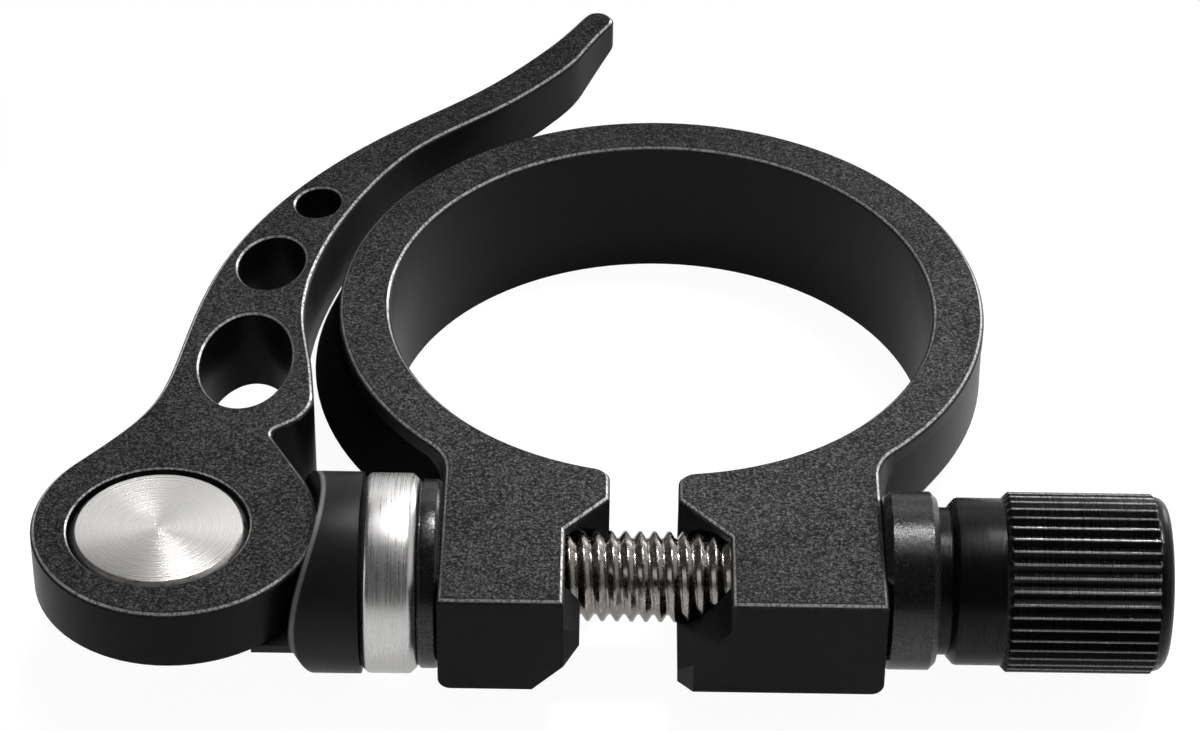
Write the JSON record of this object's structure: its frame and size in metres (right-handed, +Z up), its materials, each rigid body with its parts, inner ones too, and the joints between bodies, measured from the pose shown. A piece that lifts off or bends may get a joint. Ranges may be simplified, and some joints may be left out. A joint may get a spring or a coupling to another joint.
{
  "type": "seatpost clamp",
  "caption": "Quick release seatpost clamp: a split collar with ears, closed by a curved cam lever on an eye stud and set by a knurled adjusting nut.",
  "frame": {"origin": "on the bore's axis at half the collar's height", "axes": "+Z up the seat tube, -Y out through the slit and the ears, +X along the stud towards the adjusting nut"},
  "size_m": [0.0622, 0.0601, 0.0112],
  "materials": {
    "black_anodised": "bead blasted and black anodised, satin",
    "black_anodised_lever": "bead blasted and black anodised, satin",
    "black_saddle": "smooth black anodised, semi-gloss",
    "black_nut": "turned, knurled and black anodised, semi-gloss",
    "stainless_spacer": "brushed stainless",
    "stainless_stud": "rolled thread, bright stainless",
    "stainless_pin": "turned face with concentric marks"
  },
  "bodies": {
    "collar": {"clamp_collar": "black_anodised", "ear_washer": "black_anodised", "steel_spacer": "stainless_spacer", "cam_saddle": "black_saddle", "eye_stud": "stainless_stud"},
    "lever": {"qr_lever": "black_anodised_lever", "pivot_pin": "stainless_pin"},
    "nut_washer": {"nut_washer": "black_anodised"},
    "nut": {"adjusting_nut": "black_nut"}
  },
  "joints": [
    {"name": "lever_pivot", "type": "hinge", "parent": "collar", "child": "lever", "pos_m": [-0.02751, -0.0212, 0], "axis": [0, 0, 1], "range_deg": [0, 180]},
    {"name": "nut_travel", "type": "slide", "parent": "collar", "child": "nut_washer", "axis": [1, 0, 0], "range_m": [0, 0.0032]},
    {"name": "nut_turn", "type": "hinge", "parent": "nut_washer", "child": "nut", "pos_m": [0.015, -0.0212, 0.0013], "axis": [1, 0, 0], "range_deg": [0, 1440]}
  ],
  "couplings": [
    {"joint": "nut_turn", "follows": "nut_travel", "rad_per_m": 7854}
  ]
}
